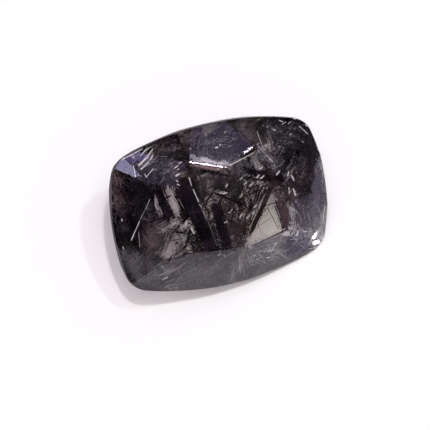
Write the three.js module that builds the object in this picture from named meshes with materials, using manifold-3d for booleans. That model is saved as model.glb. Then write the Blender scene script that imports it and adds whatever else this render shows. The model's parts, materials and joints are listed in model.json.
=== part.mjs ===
// A loose cut gemstone of black rutilated quartz: a faceted cushion, leant over on a lower facet,
// with bundles of dark needles sealed in it.
// Millimetres, +Z up. The stone is cut upright, with its table on top, its culet below and the
// girdle's lower edge at height 0, and is then turned so that one lower facet lies flat.
import * as THREE from 'three';
import { mergeVertices } from 'three/addons/utils/BufferGeometryUtils.js';
import Module from 'manifold-3d';

const wasm = await Module();
wasm.setup();

// Girdle outline: a cushion of two long bulged sides, two bulged ends and four round corners.
const HALF_LENGTH = 7.05;
const HALF_WIDTH = 5.0;
const LONG_SIDE_RADIUS = 19.4;
const END_RADIUS = 11.4;
const CORNER_RADIUS = 1.6;
const ARC_DIVISIONS = 10;

// Heights of the upright stone, measured from the girdle's lower edge. The lower main facets aim
// at one point, and the small culet is cut flat just above it.
const GIRDLE_TOP = 0.3;
const TABLE_HEIGHT = 2.35;
const POINT_DEPTH = 4.53;
const CULET_DEPTH = 4.42;

// Every facet is a flat cut. Azimuth turns from the stone's length towards its width, slope is
// measured from the girdle plane, and reach is the facet's distance from the axis at its level.
// Each facet is repeated by mirroring across the length and across the width.
const CROWN_FACETS = {
  sideMain: { azimuth: 90, slope: 39.5, reach: HALF_WIDTH, level: GIRDLE_TOP },
  shoulderMain: { azimuth: 71, slope: 37.3, reach: 5.69, level: GIRDLE_TOP },
  cornerMain: { azimuth: 36, slope: 35.8, reach: 7.24, level: GIRDLE_TOP },
  endMain: { azimuth: 0, slope: 42, reach: 7.03, level: GIRDLE_TOP },
  sideStar: { azimuth: 81.6, slope: 30.3, reach: 2.47, level: TABLE_HEIGHT },
  endStar: { azimuth: 20, slope: 25, reach: 3.82, level: TABLE_HEIGHT },
  sideBreak: { azimuth: 80, slope: 43.2, reach: 5.12, level: GIRDLE_TOP },
  cornerBreak: { azimuth: 54, slope: 37.2, reach: 6.62, level: GIRDLE_TOP },
  endBreak: { azimuth: 17, slope: 46.5, reach: 7.16, level: GIRDLE_TOP },
};
const PAVILION_FACETS = {
  shoulderMain: { azimuth: 62.5, slope: 35.7, reach: 0, level: -POINT_DEPTH },
  endMain: { azimuth: 0, slope: 32.7, reach: 0, level: -POINT_DEPTH },
  sideBreak: { azimuth: 90, slope: 58, reach: HALF_WIDTH, level: -0.06 },
  shoulderBreak: { azimuth: 78, slope: 47, reach: 5.31, level: -0.08 },
  endBreak: { azimuth: 24, slope: 35.5, reach: 7.32, level: -0.06 },
};

// The stone lies on the shoulder main below its front right side.
const RESTING_FACET = {
  ...PAVILION_FACETS.shoulderMain,
  azimuth: -PAVILION_FACETS.shoulderMain.azimuth,
};

// The thickest needles lie in bundles, each from a start to an end in the upright stone. A bundle
// is one layer of needles grown together side by side.
const NEEDLE_BUNDLES = {
  needles_left: { start: [-2.95, 2.05, 1.7], end: [-1.15, -2.1, -0.1], needles: 6, radius: 0.08 },
  needles_right: { start: [-1.0, 0.45, 1.5], end: [-0.1, -2.2, -0.1], needles: 5, radius: 0.07 },
  needles_middle: { start: [3.15, 1.2, 1.8], end: [1.4, -2.1, -0.1], needles: 3, radius: 0.06 },
  needles_low: { start: [3.05, -0.2, 1.5], end: [3.75, -1.8, -0.15], needles: 3, radius: 0.06 },
  needles_upper: { start: [3.0, 0.3, -0.6], end: [4.55, 2.3, 1.2], needles: 3, radius: 0.07 },
  needles_crossing: { start: [1.1, 2.25, 1.7], end: [4.75, -0.15, -0.2], needles: 3, radius: 0.05 },
  needles_bar: { start: [-3.6, 1.7, -0.25], end: [-3.75, 0.4, 1.5], needles: 3, radius: 0.06 },
  needles_end: { start: [-5.9, 2.4, 0.45], end: [-5.05, -1.05, -0.9], needles: 4, radius: 0.08 },
};
const NEEDLE_SIDES = 6;
const NEEDLE_SPACING = 1.5;
const NEEDLE_STAGGER = 0.07;
const POINT_LENGTH = 5;

// The quartz is parted at the girdle's upper edge, and leaves a fine gap round each bundle.
const PARTING_GAP = 0.02;
const POCKET_GAP = 0.04;

// Looks: smoky see-through quartz, and near-black needles.
const STONE_COLOUR = 0x6e6872;
const STONE_ROUGHNESS = 0.12;
const STONE_OPACITY = 0.45;
const NEEDLE_COLOUR = 0x17120f;
const NEEDLE_ROUGHNESS = 0.4;

const CUTTER_SIZE = 60;
const UP = new THREE.Vector3(0, 0, 1);
const LENGTHWISE = new THREE.Vector3(0, 1, 0);
const GOLDEN_TURN = 2.4;

function toSolid(geometry) {
  const bare = geometry.clone();
  bare.deleteAttribute('normal');
  bare.deleteAttribute('uv');
  const merged = mergeVertices(bare, 1e-5);
  return new wasm.Manifold(new wasm.Mesh({
    numProp: 3,
    vertProperties: new Float32Array(merged.attributes.position.array),
    triVerts: new Uint32Array(merged.index.array),
  }));
}

function toGeometry(solid) {
  const { vertProperties, triVerts } = solid.getMesh();
  const geometry = new THREE.BufferGeometry();
  geometry.setAttribute('position', new THREE.BufferAttribute(vertProperties, 3));
  geometry.setIndex(new THREE.BufferAttribute(triVerts, 1));
  geometry.computeVertexNormals();
  return geometry;
}

// The centre of the corner arc that touches both the long side's arc and the end's arc.
function cornerCentre() {
  const side = new THREE.Vector2(0, HALF_WIDTH - LONG_SIDE_RADIUS);
  const end = new THREE.Vector2(HALF_LENGTH - END_RADIUS, 0);
  const sideGap = LONG_SIDE_RADIUS - CORNER_RADIUS;
  const endGap = END_RADIUS - CORNER_RADIUS;
  const apart = side.distanceTo(end);
  const along = (apart ** 2 + sideGap ** 2 - endGap ** 2) / (2 * apart);
  const across = Math.sqrt(sideGap ** 2 - along ** 2);
  const line = end.clone().sub(side).normalize();
  const outward = new THREE.Vector2(line.y, -line.x);
  return side.addScaledVector(line, along).addScaledVector(outward, across);
}

function arcPoints(x, y, radius, from, to) {
  const arc = new THREE.Path();
  arc.absarc(x, y, radius, from, to, false);
  return arc.getPoints(ARC_DIVISIONS).slice(0, -1);
}

// The whole outline, anticlockwise from the lower end of the right-hand bulged end.
function girdleOutline() {
  const corner = cornerCentre();
  const sideY = HALF_WIDTH - LONG_SIDE_RADIUS;
  const endX = HALF_LENGTH - END_RADIUS;
  const sideTurn = Math.atan2(corner.y - sideY, corner.x);
  const endTurn = Math.atan2(corner.y, corner.x - endX);
  return [
    ...arcPoints(endX, 0, END_RADIUS, -endTurn, endTurn),
    ...arcPoints(corner.x, corner.y, CORNER_RADIUS, endTurn, sideTurn),
    ...arcPoints(0, sideY, LONG_SIDE_RADIUS, sideTurn, Math.PI - sideTurn),
    ...arcPoints(-corner.x, corner.y, CORNER_RADIUS, Math.PI - sideTurn, Math.PI - endTurn),
    ...arcPoints(-endX, 0, END_RADIUS, Math.PI - endTurn, Math.PI + endTurn),
    ...arcPoints(-corner.x, -corner.y, CORNER_RADIUS, Math.PI + endTurn, Math.PI + sideTurn),
    ...arcPoints(0, -sideY, LONG_SIDE_RADIUS, Math.PI + sideTurn, 2 * Math.PI - sideTurn),
    ...arcPoints(corner.x, -corner.y, CORNER_RADIUS, -sideTurn, -endTurn),
  ];
}

// The rough: the girdle outline as a straight block, from the culet's level to the table's.
function roughBlock() {
  const block = new THREE.ExtrudeGeometry(new THREE.Shape(girdleOutline()), {
    depth: TABLE_HEIGHT + CULET_DEPTH,
    bevelEnabled: false,
    steps: 1,
  });
  block.translate(0, 0, -CULET_DEPTH);
  return toSolid(block);
}

function facetNormal({ azimuth, slope }, isCrown) {
  const turn = THREE.MathUtils.degToRad(azimuth);
  const tilt = THREE.MathUtils.degToRad(slope);
  const rise = isCrown ? Math.cos(tilt) : -Math.cos(tilt);
  return new THREE.Vector3(Math.sin(tilt) * Math.cos(turn), Math.sin(tilt) * Math.sin(turn), rise);
}

// A block whose near face lies on the facet's plane, with all of it outside the stone.
function facetCutter(facet, isCrown) {
  const normal = facetNormal(facet, isCrown);
  const turn = THREE.MathUtils.degToRad(facet.azimuth);
  const onPlane = new THREE.Vector3(
    facet.reach * Math.cos(turn),
    facet.reach * Math.sin(turn),
    facet.level,
  );
  const cutter = new THREE.BoxGeometry(CUTTER_SIZE, CUTTER_SIZE, CUTTER_SIZE);
  cutter.applyQuaternion(new THREE.Quaternion().setFromUnitVectors(UP, normal));
  const middle = onPlane.addScaledVector(normal, CUTTER_SIZE / 2);
  cutter.translate(middle.x, middle.y, middle.z);
  return toSolid(cutter);
}

// The azimuths of a facet and of its mirror images, each once.
function mirroredAzimuths(azimuth) {
  const all = [azimuth, 180 - azimuth, 180 + azimuth, 360 - azimuth];
  return [...new Set(all.map((turn) => turn % 360))];
}

function cutFacets(stone, facets, isCrown) {
  let cut = stone;
  for (const facet of Object.values(facets)) {
    for (const azimuth of mirroredAzimuths(facet.azimuth)) {
      cut = cut.subtract(facetCutter({ ...facet, azimuth }, isCrown));
    }
  }
  return cut;
}

function cutStone() {
  return cutFacets(cutFacets(roughBlock(), CROWN_FACETS, true), PAVILION_FACETS, false);
}

// One needle: a straight prism, pointed at both ends.
function needle(start, end, radius) {
  const axis = end.clone().sub(start);
  const length = axis.length();
  const point = radius * POINT_LENGTH;
  const profile = [
    new THREE.Vector2(0, 0),
    new THREE.Vector2(radius, point),
    new THREE.Vector2(radius, length - point),
    new THREE.Vector2(0, length),
  ];
  const shape = new THREE.LatheGeometry(profile, NEEDLE_SIDES);
  shape.applyQuaternion(new THREE.Quaternion().setFromUnitVectors(LENGTHWISE, axis.normalize()));
  shape.translate(start.x, start.y, start.z);
  return toSolid(shape);
}

// A bundle's needles side by side, each slid along by its own share. Extra makes the bundle
// larger all round, for the pocket that it lies in.
function needleBundle({ start, end, needles, radius }, extra = 0) {
  const first = new THREE.Vector3(...start);
  const last = new THREE.Vector3(...end);
  const along = last.clone().sub(first);
  const across = along.clone().cross(UP).normalize();
  const heading = along.clone().normalize();
  let bundle = null;
  for (let i = 0; i < needles; i += 1) {
    const aside = (i - (needles - 1) / 2) * radius * NEEDLE_SPACING;
    const slide = NEEDLE_STAGGER * Math.sin(GOLDEN_TURN * i);
    const shift = across.clone().multiplyScalar(aside).addScaledVector(along, slide);
    const low = first.clone().add(shift).addScaledVector(heading, -extra * POINT_LENGTH);
    const high = last.clone().add(shift).addScaledVector(heading, extra * POINT_LENGTH);
    const one = needle(low, high, radius + extra);
    bundle = bundle ? bundle.add(one) : one;
  }
  return bundle;
}

// The stone without its pockets, below or above the parting at the girdle's upper edge.
function partStone(stone, isCrown) {
  const level = isCrown ? GIRDLE_TOP + PARTING_GAP : GIRDLE_TOP;
  const parting = { azimuth: 0, slope: 0, reach: 0, level };
  return stone.subtract(facetCutter(parting, !isCrown));
}

function cutPockets(stone) {
  const bundles = Object.values(NEEDLE_BUNDLES);
  return bundles.reduce((cut, bundle) => cut.subtract(needleBundle(bundle, POCKET_GAP)), stone);
}

// Turns the upright stone so that the resting facet faces straight down and the stone's length
// runs along +X as seen from above.
function restingTurn() {
  const down = facetNormal(RESTING_FACET, false);
  const lean = new THREE.Quaternion().setFromUnitVectors(down, UP.clone().negate());
  const length = new THREE.Vector3(1, 0, 0).applyQuaternion(lean);
  const heading = Math.atan2(length.y, length.x);
  return new THREE.Quaternion().setFromAxisAngle(UP, -heading).multiply(lean);
}

const stoneLook = new THREE.MeshStandardMaterial({
  color: STONE_COLOUR,
  roughness: STONE_ROUGHNESS,
  metalness: 0,
  transparent: true,
  opacity: STONE_OPACITY,
  flatShading: true,
});
const needleLook = new THREE.MeshStandardMaterial({
  color: NEEDLE_COLOUR,
  roughness: NEEDLE_ROUGHNESS,
  metalness: 0,
  flatShading: true,
});

function namedMesh(name, solid, look) {
  const mesh = new THREE.Mesh(toGeometry(solid), look);
  mesh.name = name;
  return mesh;
}

const stone = cutStone();
const gem = new THREE.Group();
gem.name = 'black_rutilated_quartz';
gem.quaternion.copy(restingTurn());
gem.add(namedMesh('cut_quartz', cutPockets(partStone(stone, false)), stoneLook));
gem.add(namedMesh('cut_quartz_crown', cutPockets(partStone(stone, true)), stoneLook));
for (const [name, bundle] of Object.entries(NEEDLE_BUNDLES)) {
  gem.add(namedMesh(name, needleBundle(bundle), needleLook));
}

// The origin is on the surface that the stone lies on, under the middle of its bounding box.
gem.updateMatrixWorld(true);
const bounds = new THREE.Box3().setFromObject(gem, true);
const middle = bounds.getCenter(new THREE.Vector3());
gem.position.set(-middle.x, -middle.y, -bounds.min.z);

export default gem;
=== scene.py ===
"""Looks of a loose cut stone of black rutilated quartz.

One clear, faceted body of quartz stands for the two halves of the CAD stone, and the thick bundles
of needles are the CAD's own. Round them are finer dark needles, haze, reddish and pale silk, bright
needles and flecks, and painted highlights: bright needles and flecks where the rim and corners
glint. Some stand where the photograph shows them, placed by its pixels, and the rest are grown at
random from a fixed seed.

Lengths are in millimetres, and become metres where a mesh is made, unless a comment says otherwise.
Pixels are those of the photograph, counted from its top left corner.
"""

import json
import math
import random
from typing import NamedTuple

import bmesh
import bpy
from mathutils import Matrix, Vector
from mathutils.bvhtree import BVHTree

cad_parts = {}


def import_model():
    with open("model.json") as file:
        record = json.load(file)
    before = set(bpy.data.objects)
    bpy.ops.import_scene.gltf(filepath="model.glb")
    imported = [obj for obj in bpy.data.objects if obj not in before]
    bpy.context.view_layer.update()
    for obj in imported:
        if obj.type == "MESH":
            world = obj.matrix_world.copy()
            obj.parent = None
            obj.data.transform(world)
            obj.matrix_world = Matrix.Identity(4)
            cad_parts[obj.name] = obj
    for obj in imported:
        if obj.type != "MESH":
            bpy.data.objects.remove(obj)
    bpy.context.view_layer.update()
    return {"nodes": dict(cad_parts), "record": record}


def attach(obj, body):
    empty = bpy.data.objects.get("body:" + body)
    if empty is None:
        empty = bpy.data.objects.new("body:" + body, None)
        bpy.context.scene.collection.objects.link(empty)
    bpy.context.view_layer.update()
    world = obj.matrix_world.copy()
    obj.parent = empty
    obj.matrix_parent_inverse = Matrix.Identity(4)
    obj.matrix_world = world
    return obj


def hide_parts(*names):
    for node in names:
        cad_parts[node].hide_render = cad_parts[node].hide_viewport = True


MM = 0.001
SEED = 7

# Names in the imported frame.
STONE_NODES = ("cut_quartz", "cut_quartz_crown")
NEEDLE_NODE_START = "needles_"
BODY = "root"

# The photograph: its width, its scale at the table, and where the middle of the table shows in it.
PICTURE_PX = 430
PX_PER_MM = 16.63
TABLE_CENTRE_PX = (233.8, 208.9)

# The camera: its direction from the stone in degrees, its lens, how near and far it sees in metres,
# and half the width that it sees at a distance of one.
CAMERA_AZIMUTH = -19.4
CAMERA_ELEVATION = 71.0
LENS_MM = 400.0
SENSOR_MM = 36.0
CAMERA_CLIP = (0.001, 10.0)
MIDDLE_PX = PICTURE_PX / 2
HALF_VIEW = SENSOR_MM / LENS_MM / 2

# The floor: half its width, and how far it lies below the stone, both in metres, and its looks.
FLOOR_HALF = 1.5
FLOOR_DROP = 0.00003
FLOOR_COLOUR = (0.86, 0.855, 0.86)
FLOOR_ROUGHNESS = 0.8
FLOOR_GLOSS = 0.2

# The room's even light on the floor, and how far off a card stands if its row doesn't say.
ROOM_COLOUR = (1, 0.88, 0.95)
ROOM_STRENGTH = 0.53
CARD_DISTANCE = 60

# The quartz body. Corners closer than the merge distance become one, facets are flat to within the
# tolerance, and edges sharper than the edge angle are rounded.
QUARTZ_IOR = 1.544
MERGE_DISTANCE = 0.045
FACET_TOLERANCE = math.radians(0.8)
EDGE_ANGLE = math.radians(5)
EDGE_ROUNDING = 0.018
WORN_EDGE = 0.12
# Edges worn more or less than the rest: the pixels of their ends, and their share of that width.
WORN_EDGES = (
    ((187, 160), (226.7, 169.2), 0.4),
    ((226.7, 169.2), (255.8, 145.5), 0.15),
    ((148, 183), (179.5, 187), 0.03),
)
WORN_EDGE_REACH_PX = 4
# The girdle stands square to the table, so the dot product of their normals stays below this.
GIRDLE_TILT = 0.06
# Faces with less than this many square millimetres are slivers between the facets.
SLIVER_AREA = 0.01
# The grain of the waves in the polish, and what the quartz takes out of light.
POLISH_SCALE = 600.0
POLISH_DETAIL = 3.0
ABSORPTION_COLOUR = (0.74, 0.66, 0.45)
ABSORPTION_DENSITY = 60.0

# Needles: the quartz left round them, and the sides of thick ones, coarse ones and hairs. A pointed
# end is so many radii long, but no more than a share of the needle.
NEEDLE_MARGIN = 0.03
NEEDLE_SIDES = 5
COARSE_SIDES = 4
HAIR_SIDES = 3
TIP_RADII = 4
TIP_SHARE = 0.2
# How fast their colour varies, and the noise at which it is all one or all the other.
NEEDLE_COLOUR_SCALE = 900.0
NEEDLE_COLOUR_STOPS = (0.35, 0.65)

# In a bundle, needles lie up to a share of its width deeper, slide along it by up to a share of its
# length, and have between two shares of its radius.
BUNDLE_DEPTH = 0.5
BUNDLE_SLIDE = 0.04
BUNDLE_RADIUS_SHARES = (0.5, 1.2)
# A patch is this many times as wide as its needles are spread across it.
PATCH_SPREADS = 3
# A bright needle or fleck is a streak of strands, which stray by a share of its radius and have
# between two shares of it. A fleck lies its own radius deeper than the fleck depth.
STRANDS = 6
STRAND_STRAY = 0.45
STRAND_SHARES = (0.25, 0.55)
FLECK_DEPTH = 0.12

# A line is followed this far each way, in metres. With less slope it runs along a facet.
LINE_REACH = 1.0
LEAST_SLOPE = 1e-9


class Lamp(NamedTuple):
    """A round lamp: its direction from the stone in degrees, and its distance and width in metres.
    Outer lamps light the floor and glint in facets, and inner ones show through the stone."""
    azimuth: float
    elevation: float
    distance: float
    size: float
    radiance: float
    colour: tuple
    outer: bool = True
    inner: bool = True


class Card(NamedTuple):
    """A bright card that the camera sees mirrored from one pixel to another, in the facet that
    shows at a third pixel, or in the worn edge between that facet and the one at a fourth."""
    start: tuple
    end: tuple
    width_px: float
    radiance: float
    colour: tuple
    facet: tuple
    distance: float = CARD_DISTANCE
    other_facet: tuple = None


class Flag(NamedTuple):
    """A plain sheet that the camera sees mirrored in the facet that shows at a pixel: the pixels of
    its corners, that one, and its distance from the facet."""
    corners: tuple
    facet: tuple
    distance: float
    colour: tuple


class Bundle(NamedTuple):
    """Needles side by side from one pixel to another. Depths are those below the facet, the width
    is across all of it, and the spread is how far needles stray, as a share of the width."""
    start: tuple
    end: tuple
    depth: tuple
    width: float
    count: int
    radius: float
    spread: float


class Needle(NamedTuple):
    """One needle, from one pixel to another, with the depths of its ends."""
    start: tuple
    end: tuple
    radius: float
    depth: tuple = (0.3, 0.4)


class Patch(NamedTuple):
    """Short needles scattered along a line of pixels, leaning about as it does. Width and lengths
    are in pixels, and the lean is how far their headings stray, in radians. Unless a row says
    otherwise, they are haze: very fine silk in every direction."""
    start: tuple
    end: tuple
    width_px: float
    depth: tuple
    count: int
    length_px: tuple = (4, 14)
    lean: float = 3.0
    radius: tuple = (0.0015, 0.004)


class Cluster(NamedTuple):
    """Needles in every direction round one place, the one at a depth below a pixel."""
    pixel: tuple
    depth: float
    reach: float
    count: int
    radius: tuple = (0.02, 0.05)
    length: tuple = (1, 3)


class Scatter(NamedTuple):
    """Needles in every direction through the whole stone."""
    count: int
    radius: tuple
    length: tuple


def rows_of(kind, **rows):
    """A table of rows of one kind, by their names."""
    return {name: kind(*row) for name, row in rows.items()}


# Colours of light.
WARM = (1, 0.96, 0.96)
COOL = (0.96, 1, 0.99)
BLUE = (0.62, 0.56, 1.0)
PALE_BLUE = (0.7, 0.72, 1.0)
VIOLET = (0.52, 0.42, 1.0)
WHITE = (1, 0.97, 1)

LAMPS = {
    "lamp_main": Lamp(31, 85.5, 0.45, 0.014, 1150, COOL, inner=False),
    "lamp_second": Lamp(76, 75, 0.45, 0.014, 520, COOL, inner=False),
    "ceiling": Lamp(-12, 80, 0.5, 0.22, 7, WARM, inner=False),
    "inside": Lamp(-12, 80, 0.5, 0.22, 70, WARM, outer=False),
    "blue_wall": Lamp(173, 71, 0.5, 0.26, 0.5, BLUE),
    "back_wall": Lamp(137, 41, 0.5, 0.12, 0.72, BLUE),
}
# What gives single facets and worn edges their highlights.
CARDS = rows_of(
    Card,
    pale_corner=((113, 165), (137, 163), 24, 6.4, PALE_BLUE, (127, 164)),
    violet_corner=((127, 158), (148, 152), 14, 2.4, VIOLET, (140, 158)),
    north_inner=((190, 157.5), (226, 165.2), 6, 5.2, WHITE, (208, 158)),
    white_edge=((184, 159), (224, 168), 20, 30, WHITE, (205, 158), CARD_DISTANCE, (205, 170)),
    left_spot=((244, 152.5), (248.5, 151.5), 3, 30, WHITE, (236, 150), 6),
    right_spot=((248.5, 149.5), (253.5, 147.5), 3.5, 30, WHITE, (236, 150), 6),
    corner_high=((313, 239), (318, 231), 3, 9, WHITE, (314, 236), 0.8),
    corner_low=((313.5, 243.5), (319.5, 241), 4, 9, WHITE, (318, 240), 0.5),
)
# What the facets at the right mirror: a dark room above, a crooked border, a violet grey strip
# beside it, and paler violet at the lower right.
DARK_ROOM = (0.1, 0.08, 0.1)
VIOLET_GREY = (0.52, 0.44, 0.6)
DEEP_VIOLET = (0.5, 0.44, 0.8)
PALE_VIOLET = (0.68, 0.62, 0.88)
UPPER_EAST = ((290, 120), (322, 120), (322, 160), (290, 160))
EAST_BORDER = ((334, 150), (321, 153), (314, 168), (315, 178), (309, 191), (296, 208))
DARK_EAST = ((296, 118), (334, 118), *EAST_BORDER)
PALE_EAST = (*EAST_BORDER, (296, 240), (334, 240))
SOUTH_EAST = ((288, 196), (316, 192), (318, 232), (288, 234))
SOUTH_EAST_LOW = ((288, 232), (306, 228), (311, 246), (302, 254), (284, 262))
FLAGS = rows_of(
    Flag,
    upper_east=(UPPER_EAST, (308, 143), 8, DARK_ROOM),
    north_east=(DARK_EAST, (312, 150), 2.5, DARK_ROOM),
    north_east_pale=(PALE_EAST, (312, 150), 2.6, VIOLET_GREY),
    east=(DARK_EAST, (318, 170), 2.5, DARK_ROOM),
    east_pale=(PALE_EAST, (318, 170), 2.6, VIOLET_GREY),
    south_east=(SOUTH_EAST, (300, 225), 4, DEEP_VIOLET),
    south_east_low=(SOUTH_EAST_LOW, (296, 234), 0.8, PALE_VIOLET),
)

# The quartz, its facets first and its girdle next: the colour of what shows through it and of what
# it mirrors, its roughness, and the height of the waves in its polish.
QUARTZ_SURFACES = {
    "quartz": ((0.975, 0.96, 0.985), (0.96, 0.9, 1.0), 0.025, 0.005),
    # The girdle's dark brown is partly its own smoky colour and partly painted shade, darkened to
    # stand in for the shadow along the stone's lower edge.
    "shaded_frosted_girdle": ((0.04, 0.025, 0.03), (0.3, 0.24, 0.26), 0.45, 0.004),
}
# Needles: the two colours that they vary between, and how metallic, rough and glossy they are.
FINISHES = {
    "dark_needle": ((0.003, 0.001, 0.004), (0.015, 0.009, 0.018), 0, 0.35, 0.04),
    "brown_needle": ((0.009, 0.005, 0.006), (0.054, 0.034, 0.032), 0, 0.4, 0.08),
    "pale_needle": ((0.74, 0.68, 0.71), (0.92, 0.87, 0.89), 0.7, 0.35, 0.5),
    # The white finish also colours the painted highlights at the rim and corners.
    "white_needle_and_glint": ((0.86, 0.83, 0.87), (0.99, 0.97, 1.0), 0.7, 0.35, 0.5),
    "grey_silk": ((0.135, 0.123, 0.148), (0.225, 0.208, 0.25), 0.2, 0.5, 0.3),
    "red_silk": ((0.14, 0.082, 0.092), (0.24, 0.15, 0.165), 0.2, 0.5, 0.3),
}

# What the photograph shows inside the stone, by its pixels.

# Bands and masses of dark needles.
DARK_BUNDLES = rows_of(
    Bundle,
    left_band=((179, 185), (212, 252), (0.35, 0.7), 0.72, 22, 0.045, 0.1),
    right_band=((214, 202), (228, 250), (0.4, 0.7), 0.62, 18, 0.045, 0.1),
    long_middle=((275, 180), (250, 234), (0.4, 0.9), 0.16, 4, 0.03, 0.2),
    beside_middle=((263, 186), (246, 226), (0.4, 0.7), 0.62, 12, 0.035, 0.15),
    middle_mass=((252, 198), (243, 234), (0.4, 0.8), 0.55, 6, 0.035, 0.25),
    window_corner=((283, 214), (286, 229), (0.2, 0.3), 0.34, 8, 0.035, 0.2),
    window_side=((276, 205), (285, 229), (0.4, 0.6), 0.24, 6, 0.025, 0.25),
    upright=((285, 198), (286, 228), (0.3, 0.5), 0.34, 9, 0.035, 0.2),
    patch=((240, 200), (243, 212), (0.4, 0.6), 0.24, 7, 0.035, 0.3),
    upper_arm=((272, 182), (293, 152), (0.6, 0.5), 0.26, 7, 0.04, 0.25),
    upper_cross=((275, 176), (301, 187), (0.4, 0.6), 0.26, 7, 0.035, 0.3),
    star_left=((243, 166), (276, 176), (0.5, 0.5), 0.16, 4, 0.035, 0.3),
    star_foot=((276, 172), (281, 184), (0.5, 0.5), 0.4, 8, 0.04, 0.3),
    west_bar=((158, 189), (171, 214), (0.25, 0.35), 0.24, 8, 0.035, 0.12),
    below_window=((252, 250), (284, 237), (0.5, 0.5), 0.4, 7, 0.03, 0.4),
    west_dark=((124, 186), (134, 240), (0.4, 0.6), 1.0, 20, 0.07, 0.25),
    west_top=((132, 182), (152, 198), (0.4, 0.6), 0.5, 10, 0.05, 0.3),
    north_left=((196, 126), (199, 152), (0.3, 0.5), 0.22, 6, 0.035, 0.3),
    north_right=((233, 126), (248, 151), (0.3, 0.5), 0.2, 5, 0.035, 0.3),
)
# Single dark needles, and one painted shadow.
DARK_NEEDLES = rows_of(
    Needle,
    beside_pale=((191, 181), (210, 215), 0.045, (0.2, 0.3)),
    fork_stem=((222, 172), (213, 193), 0.08, (0.35, 0.4)),
    fork_left=((214, 192), (204, 204), 0.07, (0.35, 0.4)),
    fork_right=((212, 192), (242, 204), 0.075, (0.35, 0.4)),
    fork_back=((215, 191), (200, 200), 0.035, (0.4, 0.5)),
    short_left=((246, 182), (233, 201), 0.08, (0.35, 0.4)),
    east_dark=((292, 201), (301, 214), 0.05, (0.12, 0.15)),
    east_dark_low=((295, 211), (300, 221), 0.04, (0.12, 0.15)),
    east_dark_cross=((303, 207), (295, 229), 0.02, (0.15, 0.2)),
    east_dark_upright=((302, 204), (303, 224), 0.03, (0.12, 0.15)),
    across=((262, 206.5), (301, 195.5), 0.03),
    window_line=((267, 207), (279, 230), 0.02, (0.5, 0.7)),
    window_hair=((256.5, 222), (262.5, 234), 0.012, (0.6, 0.8)),
    window_top=((254, 224), (267, 208), 0.016, (0.8, 0.9)),
    table_top=((200, 171), (231, 176), 0.07),
    table_top_low=((205, 172), (224, 174), 0.05),
    window_edge=((250, 247), (289, 228.6), 0.05, (0.1, 0.1)),
    ridge=((143, 224), (174, 214.5), 0.045, (0.2, 0.25)),
    west_thin=((153, 200), (156, 217), 0.05, (0.25, 0.3)),
    lower_left=((181, 222), (168, 240), 0.04, (0.2, 0.3)),
    lower_knot=((175, 232), (184, 233), 0.07, (0.2, 0.25)),
    lower_mid=((191, 226), (183, 252), 0.06),
    lower_cut=((172, 235), (165, 252), 0.022, (0.2, 0.25)),
    lower_cross=((158, 243), (184, 238), 0.02, (0.2, 0.25)),
    lower_edge=((166, 238), (160, 256), 0.03),
    low_stem=((244, 232), (247, 252), 0.05),
    north_line=((241, 166), (266, 174), 0.04),
    north_line_low=((247, 179), (272, 168), 0.04),
    # A dark needle put as painted shadow.
    north_shadow=((208, 154), (218, 154.5), 0.06, (0.2, 0.2)),
    north_arc=((200, 139), (233, 131), 0.03, (0.2, 0.3)),
    north_arc_low=((204, 147), (238, 141), 0.025, (0.2, 0.3)),
    south_line=((235, 262), (228, 281), 0.02),
    south_branch=((226, 264), (238, 268), 0.02),
    south_west_dark=((145, 250), (147, 277), 0.05),
    south_east_line=((246, 250), (249, 272), 0.025),
)
# Thickets of dark hairs.
DARK_PATCHES = rows_of(
    Patch,
    thicket=((256, 184), (238, 246), 22, (0.3, 1.0), 80, (8, 26), 0.5, (0.01, 0.028)),
    thicket_left=((226, 196), (236, 236), 18, (0.3, 1.0), 60, (8, 24), 0.8, (0.008, 0.024)),
    upper_table=((212, 182), (258, 190), 26, (1.0, 2.4), 130, (8, 26), 1.2, (0.01, 0.028)),
    below_west=((150, 238), (186, 232), 26, (0.2, 0.5), 50, (5, 18), 1.2, (0.006, 0.016)),
    south=((160, 276), (270, 256), 16, (0.2, 0.9), 90, (6, 20), 1.1, (0.006, 0.014)),
    below_window=((250, 251), (284, 238), 9, (0.4, 0.7), 70, (4, 12), 1.0, (0.01, 0.02)),
    window_rim=((256, 222), (267, 205), 6, (0.3, 0.8), 22, (5, 13), 0.5, (0.004, 0.01)),
    window_right=((274, 208), (282, 228), 5, (0.3, 0.7), 16, (5, 12), 0.4, (0.004, 0.01)),
    east=((306, 160), (300, 200), 18, (0.2, 0.8), 60, (6, 18), 0.9, (0.01, 0.03)),
)
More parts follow.
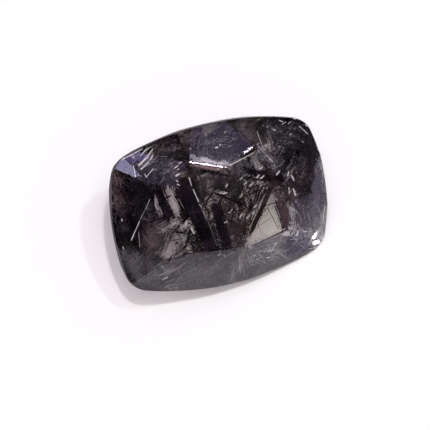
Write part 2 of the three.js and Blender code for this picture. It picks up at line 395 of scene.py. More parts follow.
# Pale silk.
PALE_PATCHES = rows_of(
    Patch,
    west_light=((168.5, 190), (177.5, 214), 6, (0.3, 0.45), 150, (4, 12), 0.1, (0.006, 0.016)),
    west_left=((154.5, 196), (158.5, 212), 4, (0.3, 0.4), 32, (4, 9), 0.12, (0.005, 0.014)),
    west_foot=((160.5, 208), (162, 217), 2.5, (0.35, 0.45), 18, (3, 6), 0.15, (0.005, 0.012)),
    west_middle=((163.5, 192), (168, 208), 2, (0.4, 0.5), 20, (4, 8), 0.1, (0.005, 0.01)),
    lower_light=((179, 236), (165, 256), 12, (0.35, 0.6), 420, (5, 12), 0.3, (0.003, 0.01)),
    ridge_light=((158, 231), (181, 221), 7, (0.4, 0.7), 90, (4, 10), 0.6, (0.003, 0.009)),
    corner_streaks=((153, 149), (138, 167), 9, (0.1, 0.2), 26, (4, 12), 0.22, (0.003, 0.008)),
    corner_low=((156, 157), (141, 167), 6, (0.1, 0.2), 22, (3, 8), 0.35, (0.003, 0.008)),
    north_left=((200, 150), (206, 130), 12, (0.15, 0.5), 26, (4, 12), 0.5, (0.002, 0.005)),
    north_middle=((214, 146), (238, 138), 14, (0.15, 0.5), 34, (4, 14), 0.5, (0.002, 0.005)),
    west_of_north=((152, 176), (176, 164), 16, (0.15, 0.5), 24, (3, 10), 0.7, (0.002, 0.006)),
    north_near=((202, 160), (228, 165), 6, (0.1, 0.3), 40, (4, 14), 0.15, (0.004, 0.01)),
    east_pink=((289, 204), (298, 232), 11, (0.2, 0.6), 60, (6, 18), 0.15, (0.003, 0.008)),
    panel=((254, 155), (260, 170), 8, (0.3, 0.7), 110, (4, 10), 0.3, (0.003, 0.008)),
    north_panel=((268, 134), (271, 150), 6, (0.4, 0.8), 36, (4, 10), 0.3, (0.003, 0.007)),
    fan=((286, 186), (293, 166), 9, (0.3, 0.5), 26, (5, 12), 0.3, (0.002, 0.006)),
    middle_strokes=((258, 200), (244, 222), 10, (0.3, 0.5), 14, (3, 8), 0.3, (0.005, 0.012)),
    window_foot=((249, 246), (256, 236), 8, (0.2, 0.5), 110, (4, 9), 0.4, (0.003, 0.008)),
    window_light=((265, 213), (263, 236), 13, (0.3, 0.6), 30, (4, 12), 0.7, (0.003, 0.008)),
    south_strokes=((170, 284), (212, 266), 9, (0.2, 0.4), 14, (8, 22), 0.12, (0.002, 0.005)),
    south_west_strokes=((160, 274), (190, 256), 14, (0.2, 0.5), 18, (6, 16), 0.25, (0.004, 0.008)),
    south_light=((236, 264), (230, 279), 12, (0.2, 0.6), 24, (5, 14), 0.2, (0.003, 0.007)),
    south_warm=((242, 250), (240, 272), 9, (0.3, 0.7), 44, (5, 14), 0.2, (0.003, 0.006)),
    south_right=((244, 262), (286, 250), 12, (0.2, 0.6), 90, (4, 12), 0.8, (0.003, 0.007)),
    south_east=((292, 238), (316, 234), 12, (0.2, 0.5), 60, (4, 12), 0.6, (0.004, 0.01)),
)
# Haze, most of it in every direction.
HAZE = rows_of(
    Patch,
    upper_table=((200, 182), (252, 176), 24, (0.8, 1.4), 540),
    middle_right=((262, 192), (284, 200), 14, (0.8, 1.3), 260),
    middle_left=((214, 196), (236, 204), 12, (0.8, 1.3), 160),
    table_low=((226, 214), (238, 246), 14, (0.8, 1.3), 420),
    west_grey=((149, 204), (147, 221), 8, (0.5, 0.8), 130),
    lower_west=((150, 228), (176, 250), 26, (0.4, 0.9), 820),
    south_west=((132, 258), (158, 280), 26, (0.2, 0.7), 620, (4, 12), 3.0, (0.0012, 0.003)),
    west_foot=((123, 250), (140, 282), 11, (0.15, 0.5), 420, (4, 12), 3.0, (0.0012, 0.003)),
    west_edge=((116, 176), (120, 238), 9, (0.15, 0.4), 60),
    south=((165, 274), (225, 268), 20, (0.4, 1.0), 500),
    south_right=((228, 268), (285, 250), 18, (0.3, 0.9), 430),
    south_east=((302, 206), (306, 240), 16, (0.1, 0.5), 460, (6, 18), 0.25),
    east_smooth=((314, 196), (313, 228), 12, (0.1, 0.4), 420, (6, 18), 0.2),
    corner=((323, 212), (317, 238), 9, (0.22, 0.5), 420),
    corner_foot=((307, 246), (320, 240), 9, (0.22, 0.5), 260),
    below_window=((250, 251), (284, 238), 9, (0.1, 0.4), 700),
    north=((202, 146), (240, 142), 26, (0.3, 0.9), 250),
    north_top=((156, 152), (192, 134), 18, (0.2, 0.7), 350),
    north_gap=((236, 124), (258, 140), 16, (0.2, 0.7), 200),
    north_east=((266, 130), (300, 138), 24, (0.2, 0.8), 430),
    north_west=((150, 160), (180, 172), 26, (0.5, 1.0), 160),
    upper_right=((256, 160), (284, 168), 14, (0.6, 1.2), 200),
    north_near=((198, 156), (234, 160), 12, (0.1, 0.4), 260),
    north_right=((258, 147), (272, 163), 5, (0.1, 0.3), 170),
    panel_left=((238, 163), (250, 168), 9, (0.4, 0.9), 150),
    window=((262, 212), (266, 238), 14, (0.3, 0.9), 10),
    fan=((284, 182), (294, 166), 13, (0.4, 0.9), 80),
    east_grey=((300, 158), (309, 186), 13, (0.2, 0.6), 170),
)
# Reddish silk, about as fine as the haze.
RED_SILK = rows_of(
    Patch,
    under_edge=((192, 164.5), (220, 170), 3, (0.12, 0.3), 90, (6, 16), 0.08, (0.002, 0.005)),
    lower_west=((148, 224), (158, 248), 14, (0.2, 0.6), 220),
    north_rim=((156, 148), (196, 132), 11, (0.2, 0.6), 180),
    north_gap=((240, 124), (264, 148), 12, (0.2, 0.6), 120),
    west_rim=((116, 172), (118, 208), 12, (0.1, 0.4), 170),
    star=((262, 165), (276, 176), 10, (0.4, 0.9), 90),
    below_star=((273, 182), (278, 202), 12, (0.3, 0.7), 150),
    thicket=((258, 200), (240, 240), 18, (0.2, 0.7), 170),
    east_block=((284, 192), (300, 198), 12, (0.3, 0.7), 110),
    window_side=((282, 200), (286, 226), 9, (0.08, 0.2), 150),
)
# Bright needles. The rows at the lower right corner, along the right rim and along the upper left
# rim are
# painted highlights: bright needles just under the surface where those edges glint.
PALE_NEEDLES_AND_HIGHLIGHTS = rows_of(
    Needle,
    band_line_top=((189, 177), (191.5, 186), 0.028, (0.12, 0.12)),
    band_line_middle=((193, 189), (199, 202), 0.036, (0.12, 0.12)),
    band_line_low=((199.5, 204), (202, 208), 0.042, (0.12, 0.12)),
    band_line_foot=((203, 211), (207, 220), 0.022, (0.15, 0.15)),
    band_line_end=((208, 221), (217, 246), 0.006, (0.2, 0.2)),
    west_line_top=((150, 199), (140, 220), 0.012, (0.15, 0.2)),
    west_line=((139.5, 221), (131, 240.5), 0.045, (0.12, 0.12)),
    west_upright=((138.5, 232), (140, 247), 0.014, (0.25, 0.3)),
    scribble_top=((153, 148.5), (147, 157.5), 0.032, (0.12, 0.15)),
    scribble_foot=((147, 157.5), (138, 166.5), 0.045, (0.12, 0.15)),
    scribble_right=((153.5, 154.5), (149.5, 161), 0.028, (0.12, 0.15)),
    scribble_right_foot=((149, 161.5), (140.5, 169.5), 0.035, (0.12, 0.15)),
    scribble_rim=((150, 147), (141, 155), 0.026, (0.12, 0.15)),
    corner_upright=((133.5, 165), (135.5, 177), 0.025, (0.12, 0.12)),
    corner_slant=((153.5, 168.5), (146.5, 177), 0.03, (0.12, 0.15)),
    corner_hook=((144.5, 173.5), (147, 178), 0.03, (0.12, 0.15)),
    corner_top=((147, 148), (140, 156), 0.03, (0.12, 0.12)),
    # Painted highlight along the upper left rim.
    corner_rim=((122, 160), (143, 148.5), 0.03, (0.1, 0.1)),
    north_line=((229, 165.5), (254, 152.5), 0.026, (0.1, 0.15)),
    north_east_line=((258, 146), (273, 162), 0.02, (0.15, 0.2)),
    north_upright=((257, 131), (263, 148), 0.018, (0.15, 0.2)),
    rim_streak=((299, 126), (308, 134), 0.03, (0.12, 0.12)),
    east_curve=((286, 204), (298, 214), 0.014, (0.2, 0.2)),
    south_stroke=((161, 265), (165, 270), 0.02, (0.2, 0.3)),
    south_light=((162, 280), (168, 277), 0.025, (0.2, 0.3)),
    east_stroke=((308, 214), (312, 236), 0.016, (0.2, 0.3)),
    east_stroke_left=((303, 208), (306, 224), 0.014, (0.2, 0.3)),
    east_stroke_low=((318, 206), (323, 222), 0.012, (0.2, 0.3)),
    # Painted highlights at the lower right corner, and in the last two rows along the right rim.
    corner_light=((311.5, 240), (318, 230), 0.09, (0.12, 0.12)),
    corner_light_low=((312.5, 243.5), (319.5, 241), 0.12, (0.12, 0.12)),
    corner_light_side=((308.5, 245), (312, 239), 0.04, (0.1, 0.1)),
    corner_light_foot=((309, 249), (317, 247), 0.05, (0.1, 0.1)),
    corner_curve=((324.5, 206), (323, 220), 0.03, (0.1, 0.1)),
    corner_curve_low=((323, 220), (318.5, 233), 0.03, (0.1, 0.1)),
)
# Short bright flecks: the pixels of their ends, and a radius. Those on the upper right and right
# rim, and the large one by the table's lower right corner, are painted glints.
FLECKS_AND_GLINTS = (
    ((178.5, 164), (181.5, 161.5), 0.05), ((174.5, 168), (178.5, 165.5), 0.05),
    ((177, 170), (179.5, 168.5), 0.03), ((175.5, 176.5), (180, 173.5), 0.075),
    ((176, 180), (178, 182), 0.03), ((177, 184), (180, 185.5), 0.035),
    ((256.5, 178), (259.5, 174.5), 0.06), ((260.5, 179), (264, 175.5), 0.06),
    ((240.5, 179), (242.5, 177), 0.03), ((244, 185), (247, 181.5), 0.04),
    ((249, 186.5), (252, 183.5), 0.05), ((226, 187), (227.5, 183.5), 0.05),
    ((223, 194), (227, 192.5), 0.06), ((220, 193.5), (222, 192), 0.035),
    ((228, 213), (231, 211.5), 0.04), ((231, 210.5), (233, 209), 0.04),
    ((239.5, 218), (242.5, 213.5), 0.06), ((246.5, 219), (250, 214), 0.07),
    ((252, 214), (254.5, 210.5), 0.045), ((254, 208), (257, 204.5), 0.045),
    ((240, 198), (243, 193), 0.045), ((246, 192), (249, 189), 0.04),
    ((276.5, 175), (279.5, 170.5), 0.08), ((287.5, 177), (288.5, 171), 0.05),
    ((291.5, 175), (294.5, 181), 0.06), ((288.5, 187), (289.5, 194), 0.04),
    ((293, 188), (296, 196), 0.04), ((224, 223), (228, 221), 0.05),
    ((185.5, 226), (187, 220), 0.04), ((191, 228), (194.5, 233.5), 0.08),
    # The first fleck below is a painted glint beside the table's lower right corner.
    ((283.5, 235.5), (286, 232.5), 0.13), ((302.5, 232.5), (307, 231), 0.07),
    ((296.5, 236), (298.5, 230.5), 0.06), ((266, 258), (270, 257), 0.05),
    ((274, 244.5), (277, 243), 0.04), ((253, 256), (256, 255), 0.035),
    ((122, 218.5), (122, 221.5), 0.045), ((123, 246.5), (123.5, 249.5), 0.06),
    ((259.5, 169.5), (262.5, 167), 0.05), ((215, 147.5), (218, 147), 0.05),
    ((219.5, 145.5), (220.5, 144), 0.035), ((224, 132.5), (226, 132), 0.04),
    # Both flecks below are painted glints on the upper right rim.
    ((293.5, 118.5), (296, 118.5), 0.05), ((305.5, 125), (307.5, 126.5), 0.045),
    ((290, 135), (291.5, 133.5), 0.045), ((262, 125), (264, 126), 0.02),
    ((266, 127.5), (269, 126), 0.02), ((271, 128), (275, 131), 0.025),
    ((288, 124), (291, 121.5), 0.02), ((302, 141), (304, 143), 0.02),
    ((274, 129), (276, 130.5), 0.03), ((279, 120), (283, 122), 0.03),
    # The second fleck below is a painted glint on the right rim.
    ((282, 124.5), (286, 122), 0.03), ((316.5, 146), (319, 151), 0.05),
    ((189.5, 148), (191, 149.5), 0.035),
)
# Knots of coarser needles.
CLUSTERS = rows_of(
    Cluster,
    east=((309, 172), 0.8, 0.7, 200, (0.02, 0.06)),
    east_top=((311, 143), 0.7, 0.6, 160),
    east_rim=((320, 190), 0.4, 0.5, 140, (0.01, 0.03)),
    north_west=((170, 142), 1.0, 0.6, 120),
    south_east=((308, 212), 1.3, 0.6, 150),
    north_east=((292, 140), 1.6, 0.7, 150, (0.02, 0.06)),
    north_middle=((254, 160), 1.2, 0.6, 70),
    upper=((272, 176), 1.8, 0.5, 60),
    middle=((232, 188), 2.8, 0.8, 90, (0.02, 0.04)),
    low=((236, 232), 2.4, 0.6, 60, (0.02, 0.04)),
    south=((217, 272), 1.3, 0.5, 120, (0.015, 0.04)),
    below_bands=((205, 240), 2.5, 0.5, 100, (0.02, 0.04)),
    right_of_table=((284, 195), 1.8, 0.6, 60),
    west=((132, 208), 0.9, 0.7, 165, (0.02, 0.06)),
)
# Needles anywhere in the stone, each round a point in a box about the stone's size.
GROWTH_BOX = ((-7, 7), (-4.4, 4.4), (0, 7.6))
FINE_SCATTERS = (Scatter(2600, (0.005, 0.012), (1, 5)),)
COARSE_SCATTERS = (Scatter(200, (0.02, 0.05), (2, 8)), Scatter(24, (0.06, 0.11), (2, 6)))
HAZE_SCATTERS = (Scatter(2000, (0.0015, 0.004), (0.4, 2)),)
# Ways for light, kept clear of such needles: a pixel where one shows, and its radius.
CLEAR_SPOTS = {
    "window_top": ((266, 217), 0.46),
    "window_left": ((262, 230), 0.52),
    "window_right": ((272, 226), 0.54),
    "window_low": ((257, 239), 0.26),
}
# Each goes on upwards from the floor, and is wider there, because the lamp above is wide.
SKY_WAY_HEIGHT = 8
SKY_WAY_SHARE = 1.4
# The steps in which a needle is checked for crossing a way.
WAY_STEPS = 12


def direction(azimuth, elevation):
    """The unit vector towards a place round the stone: azimuth 0 is towards -Y, 90 towards +X."""
    turn = math.radians(azimuth)
    rise = math.radians(elevation)
    flat = math.cos(rise)
    return Vector((math.sin(turn) * flat, -math.cos(turn) * flat, math.sin(rise)))


def mount(frame, name):
    """A mount's place and outward direction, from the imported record."""
    row = next(row for row in frame["record"]["mounts"] if row["name"] == name)
    return Vector(row["pos_m"]), Vector(row["axis"]).normalized()


def add_to_scene(name, data):
    """A new object for a mesh, a lamp or a camera."""
    thing = bpy.data.objects.new(name, data)
    bpy.context.scene.collection.objects.link(thing)
    return thing


def new_material(name):
    """A new material and its shader."""
    material = bpy.data.materials.new(name)
    material.use_nodes = True
    return material, material.node_tree.nodes["Principled BSDF"]


def add_noise(material, scale):
    """Adds noise that is fixed to the piece."""
    tree = material.node_tree
    coordinates = tree.nodes.new("ShaderNodeTexCoord")
    noise = tree.nodes.new("ShaderNodeTexNoise")
    noise.inputs["Scale"].default_value = scale
    tree.links.new(coordinates.outputs["Object"], noise.inputs["Vector"])
    return noise


def add_camera(table_centre):
    """The camera at the photograph's angle, aimed at what the photograph's middle shows."""
    data = bpy.data.cameras.new("camera")
    data.lens = LENS_MM
    data.sensor_width = SENSOR_MM
    data.clip_start, data.clip_end = CAMERA_CLIP
    camera = add_to_scene("camera", data)
    bpy.context.scene.camera = camera
    back = direction(CAMERA_AZIMUTH, CAMERA_ELEVATION)
    turn = (-back).to_track_quat("-Z", "Y")
    right = turn @ Vector((1, 0, 0))
    up = turn @ Vector((0, 1, 0))
    across = (MIDDLE_PX - TABLE_CENTRE_PX[0]) / PX_PER_MM * MM
    down = (MIDDLE_PX - TABLE_CENTRE_PX[1]) / PX_PER_MM * MM
    distance = PICTURE_PX / PX_PER_MM * MM * LENS_MM / SENSOR_MM
    camera.rotation_mode = "QUATERNION"
    camera.rotation_quaternion = turn
    camera.location = table_centre + right * across - up * down + back * distance
    return camera


class Sight:
    """Follows the camera's ray through a pixel of the photograph to the stone and into it."""

    def __init__(self, camera, facets):
        self.camera = camera
        self.tree = BVHTree.FromBMesh(facets)

    def ray(self, pixel):
        """The camera's place, and the direction from it through the pixel."""
        local = Vector((
            (pixel[0] - MIDDLE_PX) / MIDDLE_PX * HALF_VIEW,
            (MIDDLE_PX - pixel[1]) / MIDDLE_PX * HALF_VIEW,
            -1,
        )).normalized()
        return self.camera.location, self.camera.rotation_quaternion @ local

    def pixel(self, point):
        """The pixel where a point of the scene shows."""
        local = self.camera.rotation_quaternion.inverted() @ (point - self.camera.location)
        return Vector((
            MIDDLE_PX + local.x / -local.z / HALF_VIEW * MIDDLE_PX,
            MIDDLE_PX - local.y / -local.z / HALF_VIEW * MIDDLE_PX,
        ))

    def facet(self, pixel):
        """The point that shows at the pixel and its facet's normal, or None twice."""
        hit, normal, _, _ = self.tree.ray_cast(*self.ray(pixel))
        return hit, normal

    def inside(self, pixel, depth):
        """The point that shows at the pixel, at that depth along the bent ray, or None."""
        hit, normal = self.facet(pixel)
        if hit is None:
            return None
        heading = self.ray(pixel)[1]
        cosine = -normal.dot(heading)
        ratio = 1 / QUARTZ_IOR
        root = math.sqrt(1 - ratio ** 2 * (1 - cosine ** 2))
        bent = heading * ratio + normal * (ratio * cosine - root)
        return hit + bent * depth * MM

    def mirrored(self, pixel, place, normal, distance):
        """Where a thing shows at the pixel, mirrored in a face through that place, so turned."""
        eye, heading = self.ray(pixel)
        hit = eye + heading * ((place - eye).dot(normal) / heading.dot(normal))
        return hit + heading.reflect(normal) * distance * MM


def add_floor():
    """A plain floor, a hair below the stone."""
    sides = ((-1, -1), (1, -1), (1, 1), (-1, 1))
    corners = [(x * FLOOR_HALF, y * FLOOR_HALF, -FLOOR_DROP) for x, y in sides]
    mesh = bpy.data.meshes.new("floor")
    mesh.from_pydata(corners, [], [(0, 1, 2, 3)])
    mesh.materials.append(floor_material())
    add_to_scene("floor", mesh)


def floor_material():
    """A pale, nearly matt white."""
    material, shader = new_material("floor")
    shader.inputs["Base Color"].default_value = (*FLOOR_COLOUR, 1)
    shader.inputs["Roughness"].default_value = FLOOR_ROUGHNESS
    shader.inputs["Specular IOR Level"].default_value = FLOOR_GLOSS
    return material


def add_world():
    """An even light on the floor, which isn't seen in the facets or through the stone."""
    world = bpy.data.worlds.new("room")
    bpy.context.scene.world = world
    world.use_nodes = True
    background = world.node_tree.nodes["Background"]
    background.inputs["Color"].default_value = (*ROOM_COLOUR, 1)
    background.inputs["Strength"].default_value = ROOM_STRENGTH
    world.cycles_visibility.glossy = False
    world.cycles_visibility.transmission = False


def add_lamp(name, row):
    """A round lamp that faces the stone, as strong as its radiance and size make it."""
    data = bpy.data.lights.new(name, "AREA")
    data.shape = "DISK"
    data.size = row.size
    data.color = row.colour
    data.energy = row.radiance * math.pi * math.pi * (row.size / 2) ** 2
    lamp = add_to_scene(name, data)
    towards = direction(row.azimuth, row.elevation)
    lamp.location = towards * row.distance
    lamp.rotation_mode = "QUATERNION"
    lamp.rotation_quaternion = (-towards).to_track_quat("-Z", "Y")
    lamp.visible_diffuse = row.outer
    lamp.visible_glossy = row.outer
    lamp.visible_transmission = row.inner


def add_card(sight, name, row):
    """A glossy-only lamp, placed by following the camera's ray off the facet at each end."""
    middle = (Vector(row.start) + Vector(row.end)) / 2
    place, normal = sight.facet(row.facet)
    if row.other_facet:
        normal = (normal + sight.facet(row.other_facet)[1]).normalized()
    ends = [sight.mirrored(pixel, place, normal, row.distance) for pixel in (row.start, row.end)]
    back = sight.ray(middle)[1].reflect(normal)
    along = ends[1] - ends[0]
    along -= back * along.dot(back)
    aside = back.cross(along).normalized()
    # A pixel spans more on the card than on the stone, which is nearer.
    grown = 1 + row.distance * MM / sight.camera.location.length
    data = bpy.data.lights.new(name, "AREA")
    data.shape = "RECTANGLE"
    data.size = along.length
    data.size_y = row.width_px / PX_PER_MM * MM * grown
    data.color = row.colour
    data.energy = row.radiance * math.pi * data.size * data.size_y
    card = add_to_scene(name, data)
    card.matrix_world = Matrix((along.normalized(), aside, back)).transposed().to_4x4()
    card.location = (ends[0] + ends[1]) / 2
    show_only_mirrored(card)


def add_flag(sight, name, row):
    """A sheet that only reflections show, placed by following the camera's rays off a facet."""
    place, normal = sight.facet(row.facet)
    corners = [sight.mirrored(pixel, place, normal, row.distance) for pixel in row.corners]
    mesh = bpy.data.meshes.new(name)
    mesh.from_pydata(corners, [], [range(len(corners))])
    mesh.materials.append(flag_material(name, row.colour))
    flag = add_to_scene(name, mesh)
    show_only_mirrored(flag)
    flag.visible_shadow = False


def flag_material(name, colour):
    """A plain colour that no light changes."""
    material, shader = new_material(name)
    shader.inputs["Base Color"].default_value = (0, 0, 0, 1)
    shader.inputs["Specular IOR Level"].default_value = 0
    shader.inputs["Emission Color"].default_value = (*colour, 1)
    shader.inputs["Emission Strength"].default_value = 1
    return material


def show_only_mirrored(thing):
    """Hides a lamp or a sheet from all but reflections."""
    thing.visible_camera = False
    thing.visible_diffuse = False
    thing.visible_transmission = False


def set_stage(sight):
    """The floor, the light and what the facets mirror."""
    add_floor()
    add_world()
    for name, lamp in LAMPS.items():
        add_lamp(name, lamp)
    for name, card in CARDS.items():
        add_card(sight, name, card)
    for name, flag in FLAGS.items():
        add_flag(sight, "flag_" + name, flag)


def whole_facets(nodes):
    """The outer shape of the stone's two halves, with each flat facet one face."""
    shape = bmesh.new()
    for name in STONE_NODES:
        for vertex in nodes[name].data.vertices:
            shape.verts.new(vertex.co / MM)
    bmesh.ops.convex_hull(shape, input=shape.verts)
    spare = [vertex for vertex in shape.verts if not vertex.link_faces]
    bmesh.ops.delete(shape, geom=spare, context="VERTS")
    bmesh.ops.scale(shape, vec=(MM, MM, MM), verts=shape.verts)
    flatten(shape)
    return shape


def flatten(shape):
    """Joins faces that lie flat to each other, and turns them all outwards."""
    bmesh.ops.dissolve_limit(
        shape, angle_limit=FACET_TOLERANCE, verts=shape.verts, edges=shape.edges
    )
    bmesh.ops.recalc_face_normals(shape, faces=shape.faces)


def facet_planes(facets):
    """The facets as outward normals and offsets, in metres. Slivers between them don't count."""
    faces = [face for face in facets.faces if face.calc_area() > SLIVER_AREA * MM * MM]
    return [(face.normal.copy(), face.normal.dot(face.verts[0].co)) for face in faces]


def make_quartz(facets, table_normal, sight):
    """The clear body, with polished facets, worn edges and a frosted girdle, darkened partly with
    painted shade.
    """
    shape = facets.copy()
    bmesh.ops.remove_doubles(shape, verts=shape.verts, dist=MERGE_DISTANCE * MM)
    bmesh.ops.dissolve_degenerate(shape, edges=shape.edges, dist=MERGE_DISTANCE * MM)
    flatten(shape)
    mark_edges(shape, sight)
    for face in shape.faces:
        face.material_index = int(abs(face.normal.dot(table_normal)) < GIRDLE_TILT)
    mesh = bpy.data.meshes.new("polished_quartz")
    shape.to_mesh(mesh)
    shape.free()
    for name, surface in QUARTZ_SURFACES.items():
        mesh.materials.append(quartz_material(name, *surface))
    mesh.shade_flat()
    stone = add_to_scene("polished_quartz", mesh)
    wear_edges(stone)
    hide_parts(*STONE_NODES)
    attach(stone, BODY)


def mark_edges(shape, sight):
    """Gives each edge between facets its share of the worn edge's width."""
    weights = shape.edges.layers.float.new("bevel_weight_edge")
    for edge in shape.edges:
        if edge.calc_face_angle(0) > EDGE_ANGLE:
            edge[weights] = edge_wear(sight, edge)


def edge_wear(sight, edge):
    """An edge's share of the worn edge's width: its own where the photograph shows one."""
    ends = [sight.pixel(vertex.co) for vertex in edge.verts]
    for first, last, share in WORN_EDGES:
        gaps = [min((end - Vector(place)).length for place in (first, last)) for end in ends]
        if max(gaps) < WORN_EDGE_REACH_PX:
            return share
    return EDGE_ROUNDING / WORN_EDGE


def wear_edges(stone):
    """Cuts the marked edges off flat, each as wide as it is marked."""
    softened = stone.modifiers.new("worn_edges", "BEVEL")
    softened.limit_method = "WEIGHT"
    softened.width = WORN_EDGE * MM
    softened.segments = 1
    softened.use_clamp_overlap = False


def quartz_material(name, colour, mirror_colour, roughness, wave):
    """See-through quartz, with faint waves in its polish."""
    material, shader = new_material(name)
    nodes = material.node_tree.nodes
    links = material.node_tree.links
    shader.inputs["Base Color"].default_value = (*colour, 1)
    shader.inputs["Roughness"].default_value = roughness
    shader.inputs["IOR"].default_value = QUARTZ_IOR
    shader.inputs["Specular Tint"].default_value = (*mirror_colour, 1)
    shader.inputs["Transmission Weight"].default_value = 1.0
    noise = add_noise(material, POLISH_SCALE)
    noise.inputs["Detail"].default_value = POLISH_DETAIL
    bump = nodes.new("ShaderNodeBump")
    bump.inputs["Distance"].default_value = wave * MM
    links.new(noise.outputs["Fac"], bump.inputs["Height"])
    links.new(bump.outputs["Normal"], shader.inputs["Normal"])
    absorption = nodes.new("ShaderNodeVolumeAbsorption")
    absorption.inputs["Color"].default_value = (*ABSORPTION_COLOUR, 1)
    absorption.inputs["Density"].default_value = ABSORPTION_DENSITY
    links.new(absorption.outputs["Volume"], nodes["Material Output"].inputs["Volume"])
    return material


def needle_material(name, low, high, metallic, roughness, gloss):
    """A needle's colour, varying along it between two colours."""
    material, shader = new_material(name)
    links = material.node_tree.links
    noise = add_noise(material, NEEDLE_COLOUR_SCALE)
    ramp = material.node_tree.nodes.new("ShaderNodeValToRGB")
    stops = zip(ramp.color_ramp.elements, NEEDLE_COLOUR_STOPS, (low, high))
    for stop, position, colour in stops:
        stop.position = position
        stop.color = (*colour, 1)
    links.new(noise.outputs["Fac"], ramp.inputs["Fac"])
    links.new(ramp.outputs["Color"], shader.inputs["Base Color"])
    shader.inputs["Metallic"].default_value = metallic
    shader.inputs["Roughness"].default_value = roughness
    shader.inputs["Specular IOR Level"].default_value = gloss
    return material


def clip_line(planes, point, heading, inset):
    """How far a line runs inside the stone, as two distances along it, or None if it doesn't. The
    inset is the quartz left round it. All are in metres."""
    low = -LINE_REACH
    high = LINE_REACH
    for normal, offset in planes:
        room = offset - inset - normal.dot(point)
        slope = normal.dot(heading)
        if abs(slope) < LEAST_SLOPE:
            if room < 0:
                return None
        elif slope > 0:
            high = min(high, room / slope)
        else:
            low = max(low, room / slope)
    return (low, high) if low < high else None


class Way(NamedTuple):
    """A straight way for light: its ends and its radius, in metres."""
    top: Vector
    foot: Vector
    radius: float

    def crossed_by(self, start, end):
        """Whether a needle between two points comes into the way, looked at step by step."""
        axis = self.foot - self.top
        for i in range(WAY_STEPS + 1):
            point = start.lerp(end, i / WAY_STEPS)
            along = min(1, max(0, (point - self.top).dot(axis) / axis.length_squared))
            if (self.top + axis * along - point).length < self.radius:
                return True
        return False


def light_ways(sight):
    """The ways to keep clear: the bent ray down to the floor, and straight up from there."""
    ways = []
    for pixel, radius in CLEAR_SPOTS.values():
        top = sight.inside(pixel, 0)
        heading = (sight.inside(pixel, 1) - top).normalized()
        foot = top - heading * (top.z / heading.z)
        sky = foot + Vector((0, 0, SKY_WAY_HEIGHT * MM))
        ways.append(Way(top, foot, radius * MM))
        ways.append(Way(foot, sky, radius * MM * SKY_WAY_SHARE))
    return ways


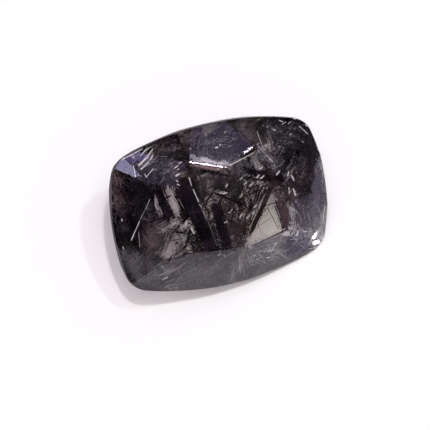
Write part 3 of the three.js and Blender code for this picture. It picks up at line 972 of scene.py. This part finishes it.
class Growth:
    """Needles that become one mesh of one material. Each is a prism with pointed ends. Their site
    is the camera's sight of the stone, the planes of its facets, the ways kept clear for light, and
    the one source of random numbers."""

    def __init__(self, site, name, material, sides=NEEDLE_SIDES):
        self.sight, self.planes, self.ways, self.draw = site
        self.name = name
        self.material = material
        self.sides = sides
        self.points = []
        self.faces = []

    def add(self, start, end, radius):
        """One needle between two points, cut short where it would leave the stone."""
        middle = (start + end) / 2
        heading = (end - start).normalized()
        half = (end - start).length / 2
        stretch = clip_line(self.planes, middle, heading, (radius + NEEDLE_MARGIN) * MM)
        if stretch is None or stretch[0] > 0 or stretch[1] < 0:
            return
        low = middle + heading * max(-half, stretch[0])
        high = middle + heading * min(half, stretch[1])
        self.add_prism(low, high, radius * MM)

    def add_prism(self, start, end, radius):
        """A needle's points and faces: a point at each end, and a ring of corners near it."""
        axis = (end - start).normalized()
        aside = axis.orthogonal().normalized()
        other = axis.cross(aside)
        tip = min(radius * TIP_RADII, (end - start).length * TIP_SHARE)
        first = len(self.points)
        self.points.append(start)
        for centre in (start + axis * tip, end - axis * tip):
            for i in range(self.sides):
                angle = math.tau * i / self.sides
                outward = aside * math.cos(angle) + other * math.sin(angle)
                self.points.append(centre + outward * radius)
        self.points.append(end)
        last = first + 2 * self.sides + 1
        for i in range(self.sides):
            low = first + 1 + i
            next_low = first + 1 + (i + 1) % self.sides
            high = low + self.sides
            next_high = next_low + self.sides
            self.faces.append((first, next_low, low))
            self.faces.append((low, next_low, next_high, high))
            self.faces.append((last, high, next_high))

    def place_between(self, pixels, depths, radius):
        """One needle between the points that show at two pixels, if both are on the stone."""
        ends = [self.sight.inside(pixel, depth) for pixel, depth in zip(pixels, depths)]
        if None not in ends:
            self.add(*ends, radius)

    def place_bundle(self, row):
        """Needles side by side, some nearer and some deeper."""
        low = self.sight.inside(row.start, row.depth[0])
        high = self.sight.inside(row.end, row.depth[1])
        axis = high - low
        back = direction(CAMERA_AZIMUTH, CAMERA_ELEVATION)
        across = axis.cross(back).normalized() * row.width * MM
        for i in range(row.count):
            share = (i + 0.5) / row.count - 0.5
            below = back * (-self.draw.uniform(0, BUNDLE_DEPTH) * row.width * MM)
            slide = axis * self.draw.uniform(-BUNDLE_SLIDE, BUNDLE_SLIDE)
            shares = [share + self.draw.gauss(0, row.spread) for _ in range(2)]
            first = low + across * shares[0] + below + slide
            last = high + across * shares[1] + below + slide
            self.add(first, last, row.radius * self.draw.uniform(*BUNDLE_RADIUS_SHARES))

    def place_streak(self, pixels, depths, radius):
        """A bright streak: thin strands side by side, each slightly off the straight."""
        stray = radius * PX_PER_MM * STRAND_STRAY
        for _ in range(STRANDS):
            strays = [[self.draw.gauss(0, stray) for _ in range(2)] for _ in pixels]
            ends = [Vector(pixel) + Vector(shift) for pixel, shift in zip(pixels, strays)]
            self.place_between(ends, depths, radius * self.draw.uniform(*STRAND_SHARES))

    def place_patch(self, row):
        """Short needles along a line."""
        draw = self.draw
        start = Vector(row.start)
        axis = Vector(row.end) - start
        aside = Vector((-axis.y, axis.x)).normalized()
        spread = row.width_px / PATCH_SPREADS
        for _ in range(row.count):
            middle = start + axis * draw.uniform(0, 1) + aside * draw.gauss(0, spread)
            turn = Matrix.Rotation(draw.gauss(0, row.lean), 2)
            half = turn @ axis.normalized() * draw.uniform(*row.length_px) / 2
            ends = (middle - half, middle + half)
            depths = [draw.uniform(*row.depth) for _ in range(2)]
            self.place_between(ends, depths, draw.uniform(*row.radius))

    def grow_cluster(self, row):
        """Needles round one place, most of them near it."""
        centre = self.sight.inside(row.pixel, row.depth)
        for _ in range(row.count):
            point = centre + Vector([self.draw.gauss(0, row.reach * MM) for _ in range(3)])
            self.grow_at(point, row)

    def grow_scatter(self, row):
        """Needles anywhere in the stone."""
        for _ in range(row.count):
            point = Vector([self.draw.uniform(*span) for span in GROWTH_BOX]) * MM
            self.grow_at(point, row)

    def grow_at(self, point, row):
        """A needle round a point, in any direction, unless it would cross a way for light."""
        heading = Vector([self.draw.gauss(0, 1) for _ in range(3)]).normalized()
        half = heading * (self.draw.uniform(*row.length) * MM / 2)
        start = point - half
        end = point + half
        if not any(way.crossed_by(start, end) for way in self.ways):
            self.add(start, end, self.draw.uniform(*row.radius))

    def finish(self):
        """Makes the mesh, as a piece that belongs to the stone."""
        mesh = bpy.data.meshes.new(self.name)
        mesh.from_pydata([tuple(point) for point in self.points], [], self.faces)
        mesh.materials.append(self.material)
        piece = add_to_scene(self.name, mesh)
        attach(piece, BODY)


def grow_hairs(site, name, material, patches, scatters=()):
    """A mesh of hairs, anywhere in the stone and in patches."""
    hairs = Growth(site, name, material, HAIR_SIDES)
    for scatter in scatters:
        hairs.grow_scatter(scatter)
    for patch in patches.values():
        hairs.place_patch(patch)
    hairs.finish()


def grow_coarse_needles(site, material):
    """Coarser needles anywhere in the stone, and clusters of them."""
    coarse = Growth(site, "coarse_needles", material, COARSE_SIDES)
    for scatter in COARSE_SCATTERS:
        coarse.grow_scatter(scatter)
    for cluster in CLUSTERS.values():
        coarse.grow_cluster(cluster)
    coarse.finish()


def grow_large_needles(site, material):
    """The dark needles that the photograph shows one by one."""
    large = Growth(site, "large_needles", material)
    for bundle in DARK_BUNDLES.values():
        large.place_bundle(bundle)
    for row in DARK_NEEDLES.values():
        large.place_between((row.start, row.end), row.depth, row.radius)
    large.finish()


def grow_bright_needles_and_glints(site, material):
    """The bright needles and flecks, all of them streaks, among them the painted highlights at the
    rim and corners.
    """
    bright = Growth(site, "bright_needles_and_glints", material)
    for row in PALE_NEEDLES_AND_HIGHLIGHTS.values():
        bright.place_streak((row.start, row.end), row.depth, row.radius)
    for start, end, radius in FLECKS_AND_GLINTS:
        depth = FLECK_DEPTH + radius
        bright.place_streak((start, end), (depth, depth), radius)
    bright.finish()


def grow_needles(site, materials):
    """All the needles, in a fixed order, because they share one source of random numbers."""
    grow_hairs(site, "fine_needles", materials["brown_needle"], DARK_PATCHES, FINE_SCATTERS)
    grow_coarse_needles(site, materials["dark_needle"])
    grow_large_needles(site, materials["dark_needle"])
    grow_hairs(site, "haze_silk", materials["grey_silk"], HAZE, HAZE_SCATTERS)
    grow_hairs(site, "red_silk", materials["red_silk"], RED_SILK)
    grow_hairs(site, "pale_silk", materials["pale_needle"], PALE_PATCHES)
    grow_bright_needles_and_glints(site, materials["white_needle_and_glint"])


def colour_bundles(nodes, material):
    """Gives the CAD's own bundles the dark needles' material."""
    for name, node in nodes.items():
        if name.startswith(NEEDLE_NODE_START):
            node.material_slots[0].material = material


def set_render(scene):
    """Plain colours, and enough bounces for light to find its way through the stone."""
    scene.view_settings.view_transform = "Standard"
    scene.cycles.max_bounces = 24
    scene.cycles.transmission_bounces = 24
    scene.cycles.glossy_bounces = 16
    scene.cycles.diffuse_bounces = 6


def main():
    """Sets the stage and dresses the stone."""
    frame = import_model()
    nodes = frame["nodes"]
    table_centre, table_normal = mount(frame, "table_face")
    camera = add_camera(table_centre)
    facets = whole_facets(nodes)
    sight = Sight(camera, facets)
    set_stage(sight)
    make_quartz(facets, table_normal, sight)
    materials = {name: needle_material(name, *finish) for name, finish in FINISHES.items()}
    colour_bundles(nodes, materials["dark_needle"])
    site = (sight, facet_planes(facets), light_ways(sight), random.Random(SEED))
    grow_needles(site, materials)
    set_render(bpy.context.scene)


main()
